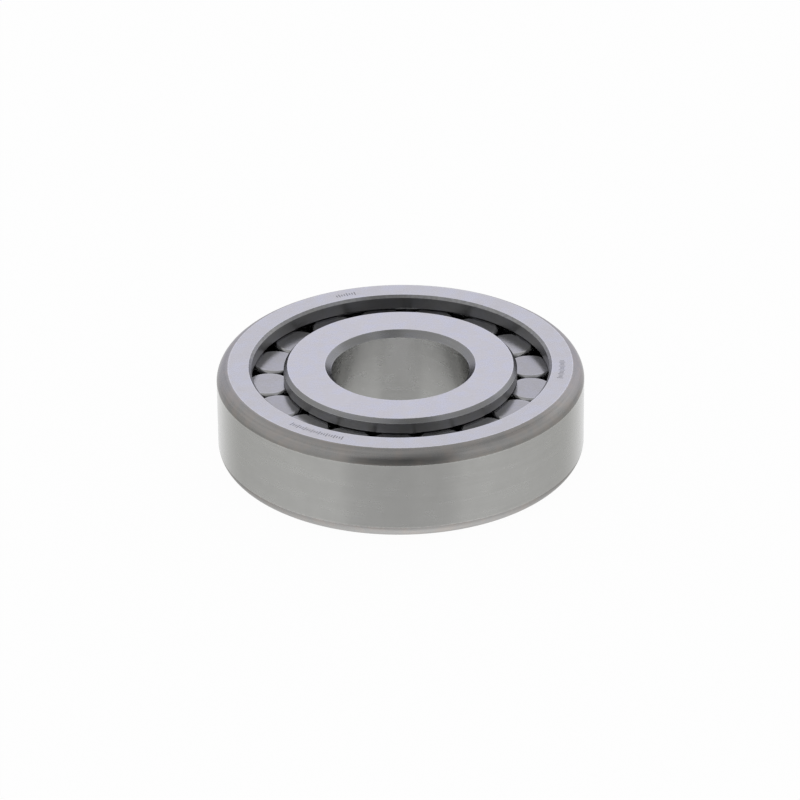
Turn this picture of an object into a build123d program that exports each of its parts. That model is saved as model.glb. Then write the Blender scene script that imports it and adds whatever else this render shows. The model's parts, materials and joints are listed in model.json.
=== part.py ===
from build123d import *

import math
import os

# A full-complement cylindrical roller bearing: two rings with a full set of rollers between them and
# no cage. The origin is the bearing's centre and +Z is its axis, towards the side where the outer ring
# has its fixed flange. All sizes are in millimetres.

# Boundary sizes
bore_diameter = 30.0
outside_diameter = 80.0
width = 21.0

# Roller set
roller_count = 17
roller_diameter = 10.35
roller_length = 14.0
roller_corner = 0.7
pitch_radius = 28.8
close_rollers = 12  # stand side by side, and the others share the rest of the circle
close_gap = 0.06
first_roller_angle = 141.8  # counter-clockwise from +X

# Running clearances
radial_clearance = 0.03  # at each raceway
end_clearance = 0.1  # at each end of a roller

# Outer ring
outer_corner_radial = 2.45
outer_corner_axial = 3.0
outer_corner_radius = 3.5
outer_flange_radius = 32.4
outer_flange_chamfer = 0.56
open_side_chamfer = 0.6

# Inner ring
inner_flange_radius = 25.4
inner_flange_chamfer_radial = 0.78
inner_flange_chamfer_axial = 0.9
bore_chamfer = 1.35

# Grinding relief at each flange's root, and the broken edge of each flange's mouth
relief_depth = 0.25
relief_width = 0.8
edge_break = 0.3

# Retaining ring and its groove
retaining_thickness = 1.6
retaining_bore_radius = 32.4
retaining_gap = 7.0
retaining_end_corner = 0.8
retaining_edge_break = 0.12
groove_radius = 35.4
groove_side_clearance = 0.05
groove_root_clearance = 0.02

# Worked out from the sizes above
half_width = width / 2
bore_radius = bore_diameter / 2
outer_radius = outside_diameter / 2
roller_radius = roller_diameter / 2
inner_raceway_radius = pitch_radius - roller_radius - radial_clearance
outer_raceway_radius = pitch_radius + roller_radius + radial_clearance
flange_face = roller_length / 2 + end_clearance  # height of each guiding face above the mid plane
groove_width = retaining_thickness + 2 * groove_side_clearance

os.makedirs("parts", exist_ok=True)


# Outer ring: one integral flange at the top, and a groove for the retaining ring near the bottom.
corner_height = half_width - outer_corner_axial
corner_radius = outer_radius - outer_corner_radial
groove_bottom = -flange_face - groove_width

with BuildPart() as outer_ring:
    with BuildSketch(Plane.XZ):
        with BuildLine():
            Line((outer_radius, -corner_height), (outer_radius, corner_height))
            RadiusArc((outer_radius, corner_height), (corner_radius, half_width), -outer_corner_radius)
            Polyline(
                (corner_radius, half_width),
                (outer_flange_radius + outer_flange_chamfer, half_width),
                (outer_flange_radius, half_width - outer_flange_chamfer),
                (outer_flange_radius, flange_face + edge_break),
                (outer_flange_radius + edge_break, flange_face),
                (outer_raceway_radius + relief_depth, flange_face),
                (outer_raceway_radius + relief_depth, flange_face - relief_width),
                (outer_raceway_radius, flange_face - relief_width),
                (outer_raceway_radius, -flange_face),
                (groove_radius, -flange_face),
                (groove_radius, groove_bottom),
                (outer_raceway_radius, groove_bottom),
                (outer_raceway_radius, open_side_chamfer - half_width),
                (outer_raceway_radius + open_side_chamfer, -half_width),
                (corner_radius, -half_width),
            )
            RadiusArc((corner_radius, -half_width), (outer_radius, -corner_height), -outer_corner_radius)
        make_face()
    revolve(axis=Axis.Z)
outer_ring.part.label = "outer_ring"
export_step(outer_ring.part, "parts/outer_ring.step")


# Inner ring: an integral flange at both sides. One half is drawn and mirrored.
with BuildPart() as inner_ring:
    with BuildSketch(Plane.XZ):
        with BuildLine():
            Polyline(
                (bore_radius, 0),
                (bore_radius, half_width - bore_chamfer),
                (bore_radius + bore_chamfer, half_width),
                (inner_flange_radius - inner_flange_chamfer_radial, half_width),
                (inner_flange_radius, half_width - inner_flange_chamfer_axial),
                (inner_flange_radius, flange_face + edge_break),
                (inner_flange_radius - edge_break, flange_face),
                (inner_raceway_radius - relief_depth, flange_face),
                (inner_raceway_radius - relief_depth, flange_face - relief_width),
                (inner_raceway_radius, flange_face - relief_width),
                (inner_raceway_radius, 0),
                close=True,
            )
        make_face()
    revolve(axis=Axis.Z)
    mirror(about=Plane.XY)
inner_ring.part.label = "inner_ring"
export_step(inner_ring.part, "parts/inner_ring.step")


# Retaining ring: a flat split ring that closes the outer ring's open side.
retaining_outer_radius = groove_radius - groove_root_clearance
retaining_bottom = -flange_face - groove_side_clearance - retaining_thickness

with BuildPart() as retaining_ring:
    with BuildSketch(Plane.XY.offset(retaining_bottom)):
        Circle(retaining_outer_radius)
        Circle(retaining_bore_radius, mode=Mode.SUBTRACT)
        with Locations((0, -groove_radius)):
            Rectangle(retaining_gap, groove_radius, mode=Mode.SUBTRACT)
    extrude(amount=retaining_thickness)
    fillet(retaining_ring.edges().filter_by(Axis.Z), retaining_end_corner)
    broken_edges = retaining_ring.faces().filter_by(Axis.Z).edges()
    chamfer(broken_edges, retaining_edge_break)
retaining_ring.part.label = "retaining_ring"
export_step(retaining_ring.part, "parts/retaining_ring.step")


# Rollers: the close ones touch shoulder to shoulder, and the slack is shared by the rest.
close_step = 2 * math.degrees(math.asin((roller_diameter + close_gap) / 2 / pitch_radius))
loose_steps = roller_count - close_rollers + 1
loose_step = (360 - (close_rollers - 1) * close_step) / loose_steps

for index in range(roller_count):
    loose_index = max(0, index - close_rollers + 1)
    angle = first_roller_angle + (index - loose_index) * close_step + loose_index * loose_step
    centre = Vector(pitch_radius, 0, -roller_length / 2).rotate(Axis.Z, angle)
    with BuildPart() as roller:
        with BuildSketch(Plane(origin=centre)):
            Circle(roller_radius)
        extrude(amount=roller_length)
        fillet(roller.edges().filter_by(GeomType.CIRCLE), roller_corner)
    name = f"roller_{index + 1:02d}"
    roller.part.label = name
    export_step(roller.part, f"parts/{name}.step")
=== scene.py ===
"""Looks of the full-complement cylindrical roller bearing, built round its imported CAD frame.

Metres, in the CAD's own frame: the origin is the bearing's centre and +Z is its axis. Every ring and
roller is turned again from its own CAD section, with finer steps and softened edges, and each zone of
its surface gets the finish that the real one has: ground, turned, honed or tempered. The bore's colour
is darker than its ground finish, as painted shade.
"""

import json
import math
import random

import bpy
import numpy as np
from mathutils import Matrix, Vector


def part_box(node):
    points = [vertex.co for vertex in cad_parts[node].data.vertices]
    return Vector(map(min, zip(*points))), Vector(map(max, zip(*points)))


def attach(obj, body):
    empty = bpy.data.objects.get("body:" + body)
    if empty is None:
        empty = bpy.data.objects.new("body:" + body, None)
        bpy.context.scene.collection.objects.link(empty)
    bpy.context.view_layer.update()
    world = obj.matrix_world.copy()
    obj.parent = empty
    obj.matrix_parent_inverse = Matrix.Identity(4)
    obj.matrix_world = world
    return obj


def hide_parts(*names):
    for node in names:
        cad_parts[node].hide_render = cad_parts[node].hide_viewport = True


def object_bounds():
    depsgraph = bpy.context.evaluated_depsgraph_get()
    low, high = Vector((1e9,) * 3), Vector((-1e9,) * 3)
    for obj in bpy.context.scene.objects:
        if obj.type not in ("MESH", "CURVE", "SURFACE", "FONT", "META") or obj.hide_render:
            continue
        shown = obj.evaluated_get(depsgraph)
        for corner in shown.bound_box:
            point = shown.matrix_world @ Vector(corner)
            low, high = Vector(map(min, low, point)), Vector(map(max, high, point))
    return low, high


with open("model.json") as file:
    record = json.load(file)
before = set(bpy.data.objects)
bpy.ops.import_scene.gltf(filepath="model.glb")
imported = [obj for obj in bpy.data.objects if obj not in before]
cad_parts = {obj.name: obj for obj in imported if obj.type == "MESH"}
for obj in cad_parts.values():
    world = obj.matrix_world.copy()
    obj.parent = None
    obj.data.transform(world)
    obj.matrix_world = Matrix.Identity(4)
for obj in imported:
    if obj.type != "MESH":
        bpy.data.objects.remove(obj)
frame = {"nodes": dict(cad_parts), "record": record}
CAD_LOW, CAD_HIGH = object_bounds()

MM = 0.001
TOP = CAD_HIGH.z
BOTTOM = CAD_LOW.z
OUTER_RADIUS = CAD_HIGH.x
MOUNTS = {mount["name"]: mount for mount in frame["record"]["mounts"]}
BORE_RADIUS = MOUNTS["shaft_bore"]["dims"]["r_mm"] * MM

RING_STEPS = 360
ROLLER_STEPS = 96
EDGE_ROUND = 0.09 * MM  # radius of the small round on every corner
WEAR_AND_HIGHLIGHT_WIDTH = 0.22 * MM  # how far the edge wear and its painted highlight reach in from a corner
ROLLERS = sorted(n for n in frame["nodes"] if n.startswith("roller_"))
FLANGE_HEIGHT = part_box(ROLLERS[0])[1].z  # the flanges start where the rollers end

random.seed(17)


# ---------------------------------------------------------------- turned shapes

ARC_STEP = math.radians(12)  # a turn below this, between two sides of one length, is a step of a CAD arc
SAME = 1e-6  # metres, for points that count as lying on the seam
STRAIGHT = math.radians(0.5)
EVEN_SIDES = 0.05  # how far the lengths of two steps of one arc may differ
ROUND_STEP = math.radians(25)


def axis_of(node):
    """Where that node's axis crosses the mid plane. The rings' axis is the frame's own."""
    if node not in ROLLERS:
        return Vector((0, 0, 0))
    low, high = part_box(node)
    return Vector(((low.x + high.x) / 2, (low.y + high.y) / 2, 0))


def cad_outline(node):
    """The CAD node's outline, anticlockwise, as (radius, height) from its axis, and whether it is closed."""
    mesh = frame["nodes"][node].data
    centre = axis_of(node)
    links = {}
    for edge in mesh.edges:
        ends = [mesh.vertices[i].co - centre for i in edge.vertices]
        if all(abs(p.y) < SAME and p.x > 0 for p in ends):
            a, b = [(round(p.x, 7), round(p.z, 7)) for p in ends]
            if a != b:
                links.setdefault(a, set()).add(b)
                links.setdefault(b, set()).add(a)
    # A flat side has no seam, so its two ends are joined across it, or run in to the axis.
    loose = {}
    for point in [p for p in links if len(links[p]) == 1]:
        loose.setdefault(point[1], []).append(point)
    for height, ends in loose.items():
        if len(ends) == 1:
            ends.append((0.0, height))
            links[ends[1]] = set()
        links[ends[0]].add(ends[1])
        links[ends[1]].add(ends[0])
    tips = [p for p in links if len(links[p]) == 1]
    closed = not tips
    walk = [min(tips, key=lambda p: p[1])] if tips else [min(links)]
    while len(walk) < len(links):
        fresh = [p for p in links[walk[-1]] if p not in walk]
        walk.append(min(fresh))
    points = np.array(walk)
    r, z = points.T
    if closed and np.dot(r, np.roll(z, -1)) < np.dot(z, np.roll(r, -1)):
        points = points[::-1]
    return points, closed


def turn_between(a, b):
    turn = math.atan2(a[0] * b[1] - a[1] * b[0], a[0] * b[0] + a[1] * b[1])
    return turn if abs(turn) > STRAIGHT else 0.0


def softened(points, closed):
    """(point, normal, edge wear and painted highlight) along an outline, with finer arcs and a small round on
    every corner.
    """
    count = len(points)
    last = count if closed else count - 1
    ways = [points[(i + 1) % count] - points[i] for i in range(last)]
    lengths = [np.linalg.norm(way) for way in ways]
    ways = [way / length for way, length in zip(ways, lengths)]
    sides = [np.array((way[1], -way[0])) for way in ways]
    turns, steps = [], []
    for i in range(count):
        at_end = not closed and i in (0, count - 1)
        turns.append(0.0 if at_end else turn_between(ways[i - 1], ways[i % last]))
        even = abs(lengths[i - 1] / lengths[i % last] - 1) < EVEN_SIDES
        steps.append(turns[i] if even and abs(turns[i]) < ARC_STEP else 0.0)

    out = []
    for i in range(count):
        before = i - 1 if closed or i else 0
        after = min(i, last - 1)
        if turns[i] and not steps[i]:
            room = min(lengths[before], lengths[after])
            out += corner_round(points[i], ways[before], ways[after], turns[i], room)
        else:
            normal = sides[before] + sides[after]
            out.append((points[i], normal / np.linalg.norm(normal), 0.0))
        if i == last:
            continue
        step = steps[i] or steps[(i + 1) % count]
        if step:
            middle = (points[i] + points[(i + 1) % count]) / 2
            bulge = lengths[i] / 2 * math.tan(step / 4)
            out.append((middle + sides[i] * bulge, sides[i], 0.0))
        elif lengths[i] > 4 * WEAR_AND_HIGHLIGHT_WIDTH:
            for reach in (WEAR_AND_HIGHLIGHT_WIDTH, lengths[i] - WEAR_AND_HIGHLIGHT_WIDTH):
                out.append((points[i] + ways[i] * reach, sides[i], 0.0))
    return out


def corner_round(corner, way_in, way_out, turn, room):
    """The (point, normal, edge wear and painted highlight) of a small arc that takes the place of one corner.
    """
    reach = min(EDGE_ROUND * math.tan(abs(turn) / 2), room * 0.3)
    radius = reach / math.tan(abs(turn) / 2) * math.copysign(1, turn)
    side = np.array((way_in[1], -way_in[0]))
    start = corner - way_in * reach
    centre = start - side * radius
    count = max(2, math.ceil(abs(turn) / ROUND_STEP))
    # 1 on a convex corner, where the edge wear and its painted highlight go
    wear_and_highlight = 1.0 if turn > 0 else 0.0
    out = []
    for k in range(count + 1):
        a = turn * k / count
        normal = np.array((side[0] * math.cos(a) - side[1] * math.sin(a),
                           side[0] * math.sin(a) + side[1] * math.cos(a)))
        out.append((centre + normal * radius, normal, wear_and_highlight))
    return out


def turned_mesh(name, node, steps, finish_of):
    """A mesh turned from a CAD node's outline. finish_of gives the finish at a stretch's middle and side."""
    points, closed = cad_outline(node)
    stops = softened(points, closed)
    if not closed:
        stops = stops[1:-1]  # the two points on the axis become flat caps
    outline = np.array([point for point, _, _ in stops])
    normals = np.array([normal for _, normal, _ in stops])
    wear_and_highlight = np.repeat([share for _, _, share in stops], steps)
    count = len(outline)
    angles = np.arange(steps) * (2 * math.pi / steps)
    cos, sin = np.cos(angles), np.sin(angles)

    def swept(radial, axial):
        rows = [np.outer(radial, cos), np.outer(radial, sin), np.outer(axial, np.ones(steps))]
        return np.stack(rows, -1).reshape(-1, 3)

    faces, finishes = [], []
    for i in range(count if closed else count - 1):
        j = (i + 1) % count
        middle = (outline[i] + outline[j]) / 2
        side = normals[i] + normals[j]
        finish = finish_of(middle, side / np.linalg.norm(side))
        for k in range(steps):
            n = (k + 1) % steps
            faces.append((i * steps + k, i * steps + n, j * steps + n, j * steps + k))
            finishes.append(finish)
    if not closed:
        for i, ring in ((0, range(steps - 1, -1, -1)), (count - 1, range(steps))):
            faces.append([i * steps + k for k in ring])
            finishes.append(finish_of(outline[i], normals[i]))

    names = sorted(set(finishes))
    mesh = bpy.data.meshes.new(name)
    mesh.from_pydata(swept(outline[:, 0], outline[:, 1]).tolist(), [], faces)
    mesh.polygons.foreach_set("material_index", [names.index(f) for f in finishes])
    mesh.polygons.foreach_set("use_smooth", [True] * len(faces))
    for finish in names:
        mesh.materials.append(FINISHES[finish])
    # This attribute marks convex corners for edge wear and a painted edge highlight.
    mesh.attributes.new("wear_and_highlight", "FLOAT", "POINT").data.foreach_set("value", wear_and_highlight)
    mesh.update()
    mesh.normals_split_custom_set_from_vertices(swept(normals[:, 0], normals[:, 1]).tolist())
    return mesh


def put(mesh, name, node):
    piece = bpy.data.objects.new(name, mesh)
    bpy.context.scene.collection.objects.link(piece)
    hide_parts(node)
    return piece


# ---------------------------------------------------------------- materials

class Tree:
    """Short ways to add and link the nodes of one material or world."""

    def __init__(self, owner):
        owner.use_nodes = True
        self.nodes = owner.node_tree.nodes
        self.links = owner.node_tree.links
        self.nodes.clear()

    def add(self, kind, inputs=None, **settings):
        node = self.nodes.new("ShaderNode" + kind)
        for key, value in settings.items():
            setattr(node, key, value)
        for key, value in (inputs or {}).items():
            if isinstance(value, bpy.types.NodeSocket):
                self.links.new(value, node.inputs[key])
            else:
                node.inputs[key].default_value = value
        return node

    def math(self, operation, *values, clamp=False):
        return self.add("Math", dict(enumerate(values)), operation=operation, use_clamp=clamp).outputs[0]

    def vector(self, x, y, z):
        return self.add("CombineXYZ", {"X": x, "Y": y, "Z": z}).outputs[0]

    def noise(self, place, scale, detail=2.0, rough=0.5):
        return self.add("TexNoise", {"Vector": place, "Scale": scale, "Detail": detail,
                                     "Roughness": rough}).outputs["Fac"]

    def between(self, value, low, high, to_low=0.0, to_high=1.0, smooth=False):
        kind = "SMOOTHSTEP" if smooth else "LINEAR"
        return self.add("MapRange", {"Value": value, "From Min": low, "From Max": high,
                                     "To Min": to_low, "To Max": to_high},
                        interpolation_type=kind).outputs["Result"]

    def mix(self, share, a, b):
        node = self.add("Mix", data_type="RGBA")
        for socket, value in ((node.inputs[0], share), (node.inputs[6], a), (node.inputs[7], b)):
            if isinstance(value, bpy.types.NodeSocket):
                self.links.new(value, socket)
            else:
                socket.default_value = value if isinstance(value, float) else (*value, 1.0)
        return node.outputs[2]

    def blend(self, share, a, b):
        node = self.add("MixShader", {"Fac": share})
        self.links.new(a.outputs[0], node.inputs[1])
        self.links.new(b.outputs[0], node.inputs[2])
        return node

    def ramp(self, value, stops):
        node = self.add("ValToRGB", {"Fac": value})
        node.color_ramp.interpolation = "EASE"
        while len(node.color_ramp.elements) < len(stops):
            node.color_ramp.elements.new(0.5)
        for element, (place, colour) in zip(node.color_ramp.elements, stops):
            element.position = place
            element.color = (*colour, 1.0)
        return node.outputs["Color"]


# The finishes' own sizes are in millimetres, and a colour is the steel's share of reflected light.
LINE_PITCH = 0.8  # of the broad ground and turned lines
FINE_PITCH = 0.11
MARK_HEIGHT = 1.4
MARK_WIDTH = 0.27
MARK_PITCH = 0.6
MARK_RADIUS = 35.2
QUARTER_TURN = 0.25  # lays the scatter across lines that run round the axis
MARK_SHADE = 0.42  # a tick's share of the side's own colour
MARKS = ((110, 8), (-5, 14), (-121, 22))  # direction in degrees and count of ticks


def steel(name, colour, roughness, along=0.0, tint=(0.98, 0.99, 1.04), patches=0.04, lines=0.05, edge=1.0,
          bump=0.05, lapped=False, marked=False, loose=0.0):
    """A metal with lines round the axis, patches of tint, worn edges with a painted highlight, and a
    roughness that varies with them.

    along is how much more the lines scatter light across themselves, edge is the grazing reflection's share
    of full, and loose is how much one piece differs from the next. lapped swaps the lines for the crossed
    scratches of a flat ground side, and marked adds the etched ticks.
    """
    material = bpy.data.materials.new(name)
    t = Tree(material)
    place = t.add("VectorMath", {0: t.add("TexCoord").outputs["Object"], "Scale": 1 / MM},
                  operation="SCALE").outputs["Vector"]
    axes = t.add("SeparateXYZ", {"Vector": place}).outputs
    flat = t.vector(axes["X"], axes["Y"], 0.0)
    radius = t.add("VectorMath", {0: flat}, operation="LENGTH").outputs["Value"]
    outward = t.add("VectorMath", {0: flat}, operation="NORMALIZE").outputs["Vector"]
    way = t.add("SeparateXYZ", {"Vector": outward}).outputs

    if lapped:
        scratches = [t.noise(crossed(t, place, degrees), 1.0, 3.0) for degrees in (28, -41)]
        grain = t.math("MULTIPLY", t.math("ADD", *scratches), 0.5)
        fine = t.noise(place, 9.0, 2.0)
    else:
        grain = t.noise(lines_round(t, axes, way, radius, LINE_PITCH, 2.0), 1.0, 2.0)
        fine = t.noise(lines_round(t, axes, way, radius, FINE_PITCH, 3.0), 1.0, 1.0)
    bands = t.noise(t.vector(way["X"], way["Y"], 0.0), 4.0, 3.0)
    patch = t.noise(place, 0.35, 5.0, 0.6)

    shade = t.math("ADD", t.between(grain, 0.25, 0.75, -lines, lines),
                   t.between(fine, 0.2, 0.8, -lines / 2, lines / 2))
    shade = t.math("ADD", shade, t.between(bands, 0.25, 0.75, -0.02, 0.02))
    shade = t.math("ADD", shade, t.between(patch, 0.25, 0.75, 1 - patches, 1 + patches))
    if loose:
        piece = t.add("ObjectInfo").outputs["Random"]
        shade = t.math("MULTIPLY", shade, t.between(piece, 0.0, 1.0, 1 - loose, 1 + loose))
    if marked:
        ticks = etched_ticks(t, axes, radius)
        shade = t.math("MULTIPLY", shade, t.between(ticks, 0.0, 1.0, 1.0, MARK_SHADE))
    # Convex edges are made brighter in colour and smoother: partly real edge wear, partly a painted highlight
    # along the edge.
    worn_and_highlit = t.math("MULTIPLY", t.add("Attribute", attribute_name="wear_and_highlight").outputs["Fac"],
                  t.between(t.noise(place, 1.6, 3.0), 0.35, 0.6, 0.25, 1.0))
    shade = t.math("ADD", shade, t.math("MULTIPLY", worn_and_highlit, 0.3))
    tinted = tuple(c * k for c, k in zip(colour, tint))
    base = t.mix(t.between(patch, 0.4, 0.65, smooth=True), colour, tinted)
    grey = t.add("VectorMath", {0: base, "Scale": shade}, operation="SCALE").outputs["Vector"]

    rough = t.math("ADD", t.between(grain, 0.2, 0.8, roughness - 0.03, roughness + 0.03),
                   t.between(patch, 0.2, 0.8, -0.02, 0.03))
    rough = t.math("SUBTRACT", rough, t.math("MULTIPLY", worn_and_highlit, 0.06))
    height = t.math("ADD", t.math("MULTIPLY", grain, 0.8), t.math("MULTIPLY", fine, 0.2))
    relief = t.add("Bump", {"Height": height, "Strength": bump, "Distance": 0.02 * MM}).outputs["Normal"]
    tangent = t.add("Tangent", direction_type="RADIAL", axis="Z").outputs["Tangent"]
    shader = t.add("BsdfPrincipled", {
        "Base Color": grey, "Metallic": 1.0, "Roughness": rough, "Normal": relief, "Tangent": tangent,
        "Specular Tint": (edge, edge, edge, 1.0), "Anisotropic": along, "Anisotropic Rotation": QUARTER_TURN})
    t.links.new(shader.outputs[0], t.add("OutputMaterial").inputs["Surface"])
    return material


def lines_round(t, axes, way, radius, pitch, drift):
    """Noise places drawn out into lines round the axis, that change over about 1 / drift of a radian."""
    across = t.math("MULTIPLY", t.math("ADD", radius, axes["Z"]), 0.8 / pitch)
    up = t.math("MULTIPLY", t.math("SUBTRACT", axes["Z"], radius), 0.8 / pitch)
    return t.add("VectorMath", {0: t.vector(across, up, 0.0),
                                1: t.vector(t.math("MULTIPLY", way["X"], drift), 0.0,
                                            t.math("MULTIPLY", way["Y"], drift))},
                 operation="ADD").outputs["Vector"]


def crossed(t, place, degrees):
    """Places stretched along one direction of the flat side, for one set of its scratches."""
    turned = t.add("Mapping", {"Vector": place, "Rotation": (0, 0, math.radians(degrees)),
                               "Scale": (0.5, 6.0, 1.0)})
    return turned.outputs["Vector"]


def etched_ticks(t, axes, radius):
    """1 on the etched ticks of the outer ring's side, and 0 elsewhere."""
    angle = t.math("DEGREES", t.math("ARCTAN2", axes["Y"], axes["X"]))
    total = 0.0
    for direction, count in MARKS:
        step = math.degrees(MARK_PITCH / MARK_RADIUS)
        index = t.math("MULTIPLY", t.math("SUBTRACT", angle, direction - step * count / 2), 1 / step)
        inside = t.math("COMPARE", index, count / 2, count / 2)
        across = t.math("COMPARE", t.math("FRACT", index), 0.5, MARK_WIDTH / MARK_PITCH / 2)
        long = t.math("COMPARE", t.math("MODULO", t.math("FLOOR", index), 3.0), 0.0, 0.1)
        half = t.between(long, 0.0, 1.0, MARK_HEIGHT * 0.32, MARK_HEIGHT * 0.5)
        along = t.math("COMPARE", radius, MARK_RADIUS, half)
        tick = t.math("MULTIPLY", inside, t.math("MULTIPLY", across, along))
        total = t.math("ADD", total, tick)
    return total


FINISHES = {
    "face": steel("side_ground", (0.572, 0.567, 0.580), 0.26, tint=(0.96, 0.98, 1.05), lines=0.03,
                  lapped=True),
    "marked_face": steel("side_ground_marked", (0.552, 0.548, 0.554), 0.26, tint=(0.96, 0.98, 1.04),
                         lines=0.03, patches=0.06, lapped=True, marked=True),
    "seat": steel("seat_ground", (0.570, 0.570, 0.564), 0.25, along=0.85, tint=(1.0, 1.0, 1.0), patches=0.02,
                  lines=0.015, bump=0.002),
    # The bore is the seat's ground steel made darker in colour: painted shade for the shade inside the bore.
    "bore": steel("bore_ground_painted_shade", (0.538, 0.538, 0.532), 0.25, along=0.85, tint=(1.0, 1.0, 1.0), patches=0.02,
                  lines=0.015, bump=0.002),
    "turned": steel("corner_turned", (0.340, 0.336, 0.332), 0.28, along=0.7, tint=(1.04, 0.99, 0.96),
                    edge=0.75, patches=0.07, lines=0.12),
    "chamfer": steel("chamfer_turned", (0.285, 0.285, 0.287), 0.26, along=0.6, edge=0.7, lines=0.06),
    "mouth": steel("mouth_turned", (0.265, 0.265, 0.265), 0.36, along=0.9, edge=0.7, lines=0.05, bump=0.01),
    "flange": steel("flange_turned", (0.390, 0.390, 0.388), 0.36, along=0.9, edge=0.7, lines=0.05, bump=0.01),
    "track": steel("track_honed", (0.500, 0.500, 0.495), 0.20, along=0.6, lines=0.02, bump=0.002),
    "roller_end": steel("roller_end_ground", (0.400, 0.398, 0.400), 0.20, patches=0.06, lines=0.04,
                        loose=0.06),
    "roller_side": steel("roller_honed", (0.500, 0.500, 0.495), 0.16, along=0.4, lines=0.02, bump=0.002),
    "spring": steel("spring_tempered", (0.180, 0.180, 0.185), 0.38, patches=0.12, lines=0.05, lapped=True),
}


# ---------------------------------------------------------------- the bearing

NEAR = 0.1 * MM
FACING = 0.99  # a side counts as flat or straight above this share of its normal


def ring_finish(node):
    """Says which finish a stretch of that ring's outline has."""
    outer = node == "outer_ring"
    seat_radius = OUTER_RADIUS if outer else BORE_RADIUS
    lip = "mouth" if outer else "flange"

    def finish_of(middle, side):
        r, z = middle
        on_side = min(TOP - z, z - BOTTOM) < NEAR
        if abs(side[1]) > FACING:
            return ("marked_face" if outer and z > 0 else "face") if on_side else lip
        if abs(side[0]) > FACING:
            if abs(r - seat_radius) < NEAR:
                return "seat" if outer else "bore"
            return lip if abs(z) > FLANGE_HEIGHT else "track"
        if outer:
            return "turned" if r > MARK_RADIUS * MM else "mouth"
        return "chamfer"

    return finish_of


for node in ("outer_ring", "inner_ring"):
    mesh = turned_mesh(node + "_turned", node, RING_STEPS, ring_finish(node))
    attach(put(mesh, node + "_turned", node), node)

roller_mesh = turned_mesh("roller_turned", ROLLERS[0], ROLLER_STEPS,
                          lambda middle, side: "roller_end" if abs(side[1]) > 0.5 else "roller_side")
for node in ROLLERS:
    piece = put(roller_mesh, node + "_turned", node)
    turn = Matrix.Rotation(random.uniform(0, 2 * math.pi), 4, "Z")
    piece.matrix_world = Matrix.Translation(axis_of(node)) @ turn
    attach(piece, node)

frame["nodes"]["retaining_ring"].material_slots[0].material = FINISHES["spring"]


# ---------------------------------------------------------------- floor, light and camera

FLOOR_RADIUS = 3.0
FLOOR_SIDES = 64
FLOOR_WHITE = 0.97  # the plain white's share, and the rest is the real shading
BACKDROP_WHITE = 0.99

floor_mesh = bpy.data.meshes.new("floor")
around = [2 * math.pi * k / FLOOR_SIDES for k in range(FLOOR_SIDES)]
floor_mesh.from_pydata([(FLOOR_RADIUS * math.cos(a), FLOOR_RADIUS * math.sin(a), 0) for a in around], [],
                       [range(FLOOR_SIDES)])
floor = bpy.data.objects.new("floor", floor_mesh)
floor.location.z = BOTTOM
bpy.context.scene.collection.objects.link(floor)


def floor_material():
    """Almost white to the camera, with a little shading. The surround lights the bearing through it."""
    material = bpy.data.materials.new("pale_floor")
    t = Tree(material)
    lit = t.add("BsdfDiffuse", {"Color": (0.95, 0.95, 0.95, 1.0)})
    white = t.add("Emission", {"Color": (1.0, 1.0, 1.0, 1.0)})
    clear = t.add("BsdfTransparent")
    path = t.add("LightPath").outputs["Is Camera Ray"]
    from_below = t.add("NewGeometry").outputs["Backfacing"]
    seen = t.blend(FLOOR_WHITE, lit, white)
    shown = t.blend(t.math("MULTIPLY", path, t.math("SUBTRACT", 1.0, from_below)), clear, seen)
    t.links.new(shown.outputs[0], t.add("OutputMaterial").inputs["Surface"])
    return material


floor_mesh.materials.append(floor_material())


def by_elevation(t, elevation, stops):
    """A colour that follows (degrees above the horizon, brightness, tint) stops."""
    return t.ramp(elevation, [((degrees + 90) / 180, tuple(brightness * c for c in tint))
                              for degrees, brightness, tint in stops])


# Soft panels in the surround: direction and height in degrees, and brightness beside what is round them.
PANELS = ((0, 45, 0.80), (40, 20, 1.22))
PANEL_CORE = math.radians(14)
PANEL_EDGE = math.radians(28)


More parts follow.
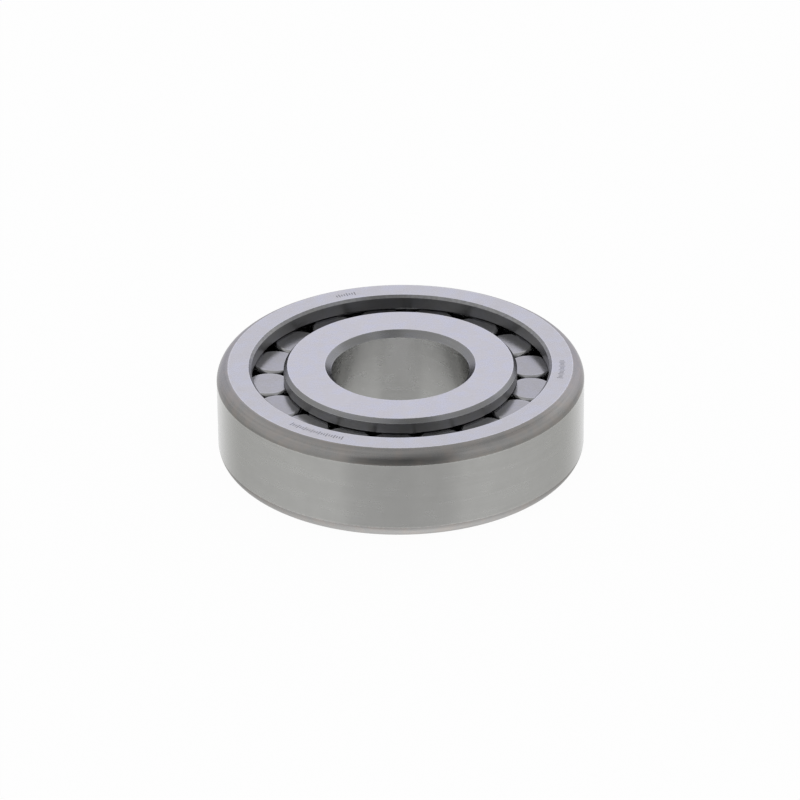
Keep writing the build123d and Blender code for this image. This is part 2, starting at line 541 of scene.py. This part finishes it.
def studio_light():
    """A soft surround, brightest behind the bearing, with a dark shape in front for its walls to reflect."""
    world = bpy.data.worlds.new("studio")
    bpy.context.scene.world = world
    t = Tree(world)
    view = t.add("TexCoord").outputs["Generated"]
    way = t.add("SeparateXYZ", {"Vector": view}).outputs
    degrees = t.math("DEGREES", t.math("ARCSINE", way["Z"]))
    elevation = t.between(degrees, -90.0, 90.0)
    cool, plain, warm = (0.99, 0.98, 1.09), (1.0, 1.0, 1.0), (1.0, 1.0, 0.97)
    back = by_elevation(t, elevation, [
        (-90, 1.65, plain), (-60, 1.35, plain), (-28, 1.14, plain), (5, 1.0, cool), (35, 1.0, cool),
        (60, 0.80, plain), (90, 0.57, plain)])
    around = by_elevation(t, elevation, [
        (-90, 1.65, plain), (-62, 1.35, plain), (-46, 1.02, plain), (-32, 0.54, warm), (-20, 0.55, warm),
        (-5, 0.60, warm), (8, 0.70, plain), (24, 0.77, plain), (42, 0.76, plain), (60, 0.65, plain),
        (90, 0.57, plain)])
    share = t.math("POWER", t.between(way["Y"], 0.4, 0.9), 2.0)
    surround = t.mix(share, around, back)

    for azimuth, height, factor in PANELS:
        centre = Vector((math.cos(math.radians(azimuth)), math.sin(math.radians(azimuth)), 0))
        centre = centre * math.cos(math.radians(height)) + Vector((0, 0, math.sin(math.radians(height))))
        near = t.add("VectorMath", {0: view, 1: centre}, operation="DOT_PRODUCT").outputs["Value"]
        panel = t.between(near, math.cos(PANEL_EDGE), math.cos(PANEL_CORE), 1.0, factor, smooth=True)
        surround = t.add("VectorMath", {0: surround, "Scale": panel}, operation="SCALE").outputs["Vector"]

    # The dark shape leans and narrows upwards, and is darkest near the horizon.
    lean = t.between(degrees, 12.0, 60.0, 0.0, 0.15, smooth=True)
    half = t.between(degrees, 28.0, 60.0, 0.50, 0.17)
    off = t.math("ABSOLUTE", t.math("SUBTRACT", way["X"], lean))
    inside = t.between(off, t.math("SUBTRACT", half, 0.06), t.math("ADD", half, 0.06), 1.0, 0.0, smooth=True)
    core = t.between(off, 0.0, t.math("SUBTRACT", half, 0.04), 1.0, 0.78)
    ahead = t.between(way["Y"], 0.0, -0.25, smooth=True)
    depth = by_elevation(t, elevation, [
        (-90, 0.0, plain), (-50, 0.1, plain), (-28, 0.17, plain), (-12, 0.5, plain), (2, 0.88, plain),
        (30, 0.86, plain), (58, 0.40, plain), (80, 0.0, plain)])
    dark = t.math("MULTIPLY", t.math("MULTIPLY", inside, core), t.math("MULTIPLY", ahead, depth))
    light = t.add("Background", {"Color": t.mix(dark, surround, (0.0, 0.0, 0.0))})
    pale = t.add("Background", {"Color": (BACKDROP_WHITE, BACKDROP_WHITE, BACKDROP_WHITE, 1.0)})
    seen = t.blend(t.add("LightPath").outputs["Is Camera Ray"], light, pale)
    t.links.new(seen.outputs[0], t.add("OutputWorld").inputs["Surface"])


studio_light()

CAMERA_ELEVATION = math.radians(28.12)
CAMERA_DISTANCE = 1.106
CAMERA_LENS = 228.9
CAMERA_ROLL = math.radians(-0.55)
AIM = Vector((-0.14 * MM, 0, TOP - 8.86 * MM))

camera = bpy.data.objects.new("camera", bpy.data.cameras.new("camera"))
bpy.context.scene.collection.objects.link(camera)
camera.data.lens = CAMERA_LENS
camera.data.sensor_width = 36.0
camera.data.clip_end = 10.0
back_to_camera = Vector((0, -math.cos(CAMERA_ELEVATION), math.sin(CAMERA_ELEVATION)))
top_centre = Vector((0, 0, TOP))
camera.location = top_centre + back_to_camera * CAMERA_DISTANCE
aim = AIM - camera.location
camera.rotation_mode = "QUATERNION"
roll = Matrix.Rotation(CAMERA_ROLL, 3, "Z").to_quaternion()
camera.rotation_quaternion = aim.to_track_quat("-Z", "Y") @ roll
bpy.context.scene.camera = camera

bpy.context.scene.view_settings.view_transform = "Standard"
